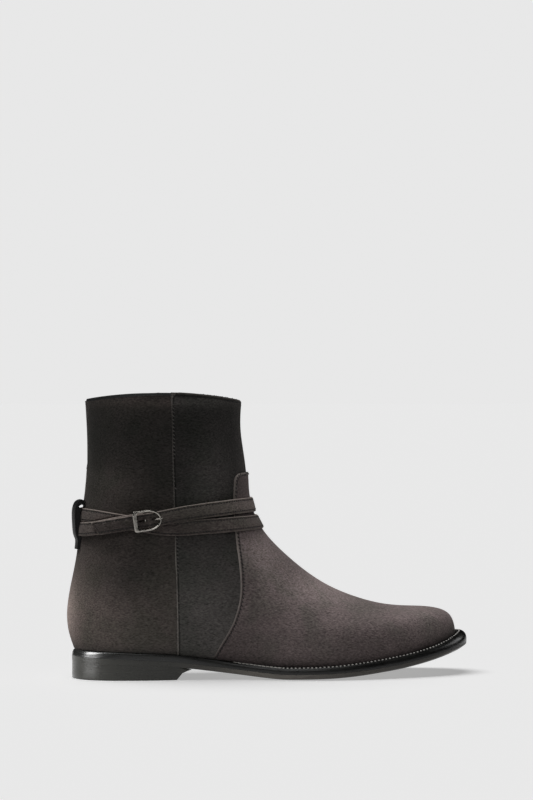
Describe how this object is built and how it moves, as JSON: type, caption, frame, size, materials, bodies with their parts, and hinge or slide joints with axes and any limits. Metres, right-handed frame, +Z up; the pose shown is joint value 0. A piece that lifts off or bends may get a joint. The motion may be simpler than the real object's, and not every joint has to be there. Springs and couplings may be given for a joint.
{
  "type": "ankle boot",
  "caption": "Low-heeled suede ankle boot for the right foot: hollow upper open at the collar, welted sole, and a thin strap wound round the ankle to a small buckle",
  "frame": {"origin": "on the floor, under the middle of the boot's box", "axes": "+X to the toe, -Y to the outer side of the foot, +Z up"},
  "size_m": [0.2698, 0.092, 0.188],
  "materials": {
    "sole_edge": "dark brown grey leather sole, stained and waxed at its edge",
    "welt_edge": "black leather, burnished and polished",
    "insole_leather": "smooth matte leather",
    "heel_leather": "stacked leather, black, polished",
    "heel_rubber": "black rubber, semi matte",
    "upper_suede": "taupe grey suede with a short nap",
    "vamp_suede": "taupe grey suede with a short nap",
    "strap_suede": "taupe grey suede with pale raw edges",
    "loop_leather": "smooth black leather",
    "buckle_metal": "polished steel"
  },
  "bodies": {
    "root": {"outsole": "sole_edge", "welt": "welt_edge", "insole": "insole_leather", "heel_stack": "heel_leather", "heel_top_lift": "heel_rubber", "upper": "upper_suede", "vamp": "vamp_suede", "wrap_strap": "strap_suede", "back_loop": "loop_leather", "buckle_frame": "buckle_metal", "buckle_bar": "buckle_metal", "buckle_prong": "buckle_metal"}
  },
  "joints": []
}
